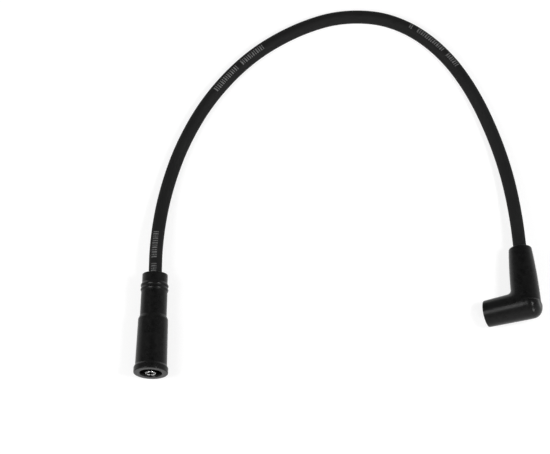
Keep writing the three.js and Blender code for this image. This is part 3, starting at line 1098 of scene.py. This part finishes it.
jacket = cable_jacket()
cable.data.materials.append(jacket)
print("cable jacket nodes:", len(jacket.node_tree.nodes))

# %% [markdown]
# ## Stamped steel
#
# The terminals are bright steel. The rolling mill leaves fine lines and handling leaves a
# few duller patches, so the roughness wanders and a shallow bump carries the lines.

# %% Terminal steel
def terminal_steel():
    finish = Finish(bpy.data.materials.new("terminal_steel"))
    place = finish.object_place()
    lines = finish.noise(finish.scaled(place, (900.0, 120.0, 900.0)), 1.0, detail=3.0)
    patches = finish.noise(place, 500.0, detail=3.0)
    colour = finish.mix(
        finish.ramp(patches, 0.4, 0.7), grey(210), grey(188, (1.0, 0.985, 0.96))
    )
    finish.set(
        Base_Color=colour,
        Metallic=1.0,
        Roughness=finish.ramp(patches, 0.3, 0.7, 0.09, 0.2),
        Normal=finish.bump(lines, 0.01 * MM, 0.3),
    )
    return finish.owner


steel = terminal_steel()
for piece in (crown, cup, neck, clip):
    piece.data.materials.append(steel)
print("terminal steel nodes:", len(steel.node_tree.nodes))

# %% [markdown]
# ## The studio
#
# The photograph shows a black wire on a white ground with hardly a shadow. Black rubber is
# seen by what it mirrors, so its highlights tell where the lamps stood. The streak along
# the plug barrel and the left spots on the ribs both mirror one softbox, high on the left
# and a little in front. A smaller and brighter one, high on the right, makes the right
# spots on the ribs and the upper spot on the heel. The lower spot there mirrors a lamp that
# stands low in front, with a cone so narrow that it misses the straight boot. Between the
# softboxes the ceiling is dark, and the room is paler towards the horizon, most of all in
# front. A wide fill that nothing mirrors brings colours to about their written level. The
# floor takes a faint shadow. Its glow, for the camera and in mirrors, is what makes it
# white, and it lights nothing else.

# %% Floor, world and lamps
FLOOR_HALF = 4.0
FLOOR_COLOUR = 0.32
FLOOR_GLOW = 0.74
HORIZON, OVERHEAD = 0.7, 0.13
PALE_BELOW, DARK_ABOVE = 0.15, 0.85
SLANT_RIGHT, SLANT_BACK = 0.15, -0.6
STUDIO_CENTRE = np.array([0.0, 60.0, 0.0]) * MM
LAMP_DISTANCE = 1.2
SOFTBOXES = {
    "softbox_left": ((-0.62, -0.19, 0.76), 0.50, 7.8),
    "softbox_right": ((0.515, -0.17, 0.84), 0.21, 42.0),
}
FILL_SIZE, FILL_LEVEL = 2.4, 0.3
FILL_HEIGHT = 2.2
HEEL_LAMP_WAY = (0.50, -0.73, 0.38)
HEEL_LAMP_RADIUS, HEEL_LAMP_CONE, HEEL_LAMP_LEVEL = 0.11, 10, 46.0
CONE_BLEND = 0.3


def make_floor():
    """A large square. Its glow is for the camera and for mirrored and transmitted rays."""
    mesh = bpy.data.meshes.new("floor")
    h = FLOOR_HALF
    mesh.from_pydata([(-h, -h, 0), (h, -h, 0), (h, h, 0), (-h, h, 0)], [], [(0, 1, 2, 3)])
    floor = bpy.data.objects.new("floor", mesh)
    bpy.context.scene.collection.objects.link(floor)
    finish = Finish(bpy.data.materials.new("floor"))
    seen_by = finish.node("ShaderNodeLightPath").socket.node.outputs
    camera_ray, glossy_ray, transmission_ray = (
        Wire(finish, seen_by[name])
        for name in ("Is Camera Ray", "Is Glossy Ray", "Is Transmission Ray")
    )
    finish.set(
        Base_Color=(FLOOR_COLOUR, FLOOR_COLOUR, FLOOR_COLOUR, 1.0),
        Roughness=0.9,
        Specular_IOR_Level=0.0,
        Emission_Color=(1.0, 1.0, 1.0, 1.0),
        Emission_Strength=(camera_ray + glossy_ray + transmission_ray) * FLOOR_GLOW,
    )
    mesh.materials.append(finish.owner)


def make_world():
    """Brightness falls smoothly from the horizon's level to the one overhead, as a
    direction's z rises. It is multiplied by one plus the slants times x and y, so it is
    higher in front than at the back."""
    finish = Finish(bpy.data.worlds.new("studio"), "Background")
    bpy.context.scene.world = finish.owner
    way = finish.node("ShaderNodeTexCoord", output="Generated")
    height = finish.node("ShaderNodeSeparateXYZ", {}, {0: way}, output="Z")
    brightness = finish.node(
        "ShaderNodeMapRange", {"interpolation_type": "SMOOTHSTEP"},
        {"Value": height, "From Min": PALE_BELOW, "From Max": DARK_ABOVE,
         "To Min": HORIZON, "To Max": OVERHEAD},
    )
    slant = finish.node(
        "ShaderNodeVectorMath", {"operation": "DOT_PRODUCT"},
        {0: way, 1: (SLANT_RIGHT, SLANT_BACK, 0.0)}, output="Value",
    )
    finish.set(Color=(1.0, 1.0, 1.0, 1.0), Strength=brightness * (slant + 1.0))


def hang(name, data, way, target=STUDIO_CENTRE, distance=LAMP_DISTANCE):
    """Puts a lamp some way off in a direction from its target, and turns it to face it."""
    lamp = bpy.data.objects.new(name, data)
    bpy.context.scene.collection.objects.link(lamp)
    way = Vector(way).normalized()
    lamp.location = Vector(target) + distance * way
    lamp.rotation_euler = way.to_track_quat("Z", "Y").to_euler()
    return lamp


def make_softbox(name, way, size, level, distance=LAMP_DISTANCE):
    """A square lamp over the wire. Its level is how bright its face is, with 1 as white, so
    its power is pi times the level times its area."""
    data = bpy.data.lights.new(name, "AREA")
    data.size = size
    data.energy = math.pi * level * size**2
    return hang(name, data, way, distance=distance)


def make_spot(name, way, radius, cone, level, target):
    """A round lamp with a narrow cone. Light leaves it as from a ball, so its power is four
    times pi squared times the level times its radius squared."""
    data = bpy.data.lights.new(name, "SPOT")
    data.shadow_soft_size = radius
    data.spot_size = math.radians(cone)
    data.spot_blend = CONE_BLEND
    data.energy = 4 * math.pi**2 * level * radius**2
    return hang(name, data, way, target)


make_floor()
make_world()
for name, settings in SOFTBOXES.items():
    make_softbox(name, *settings)
fill = make_softbox("fill", (0, 0, 1), FILL_SIZE, FILL_LEVEL, distance=FILL_HEIGHT)
fill.visible_glossy = False
make_spot(
    "heel_lamp", HEEL_LAMP_WAY, HEEL_LAMP_RADIUS, HEEL_LAMP_CONE, HEEL_LAMP_LEVEL,
    elbow_frame.origin,
)
bpy.context.scene.view_settings.view_transform = "Standard"
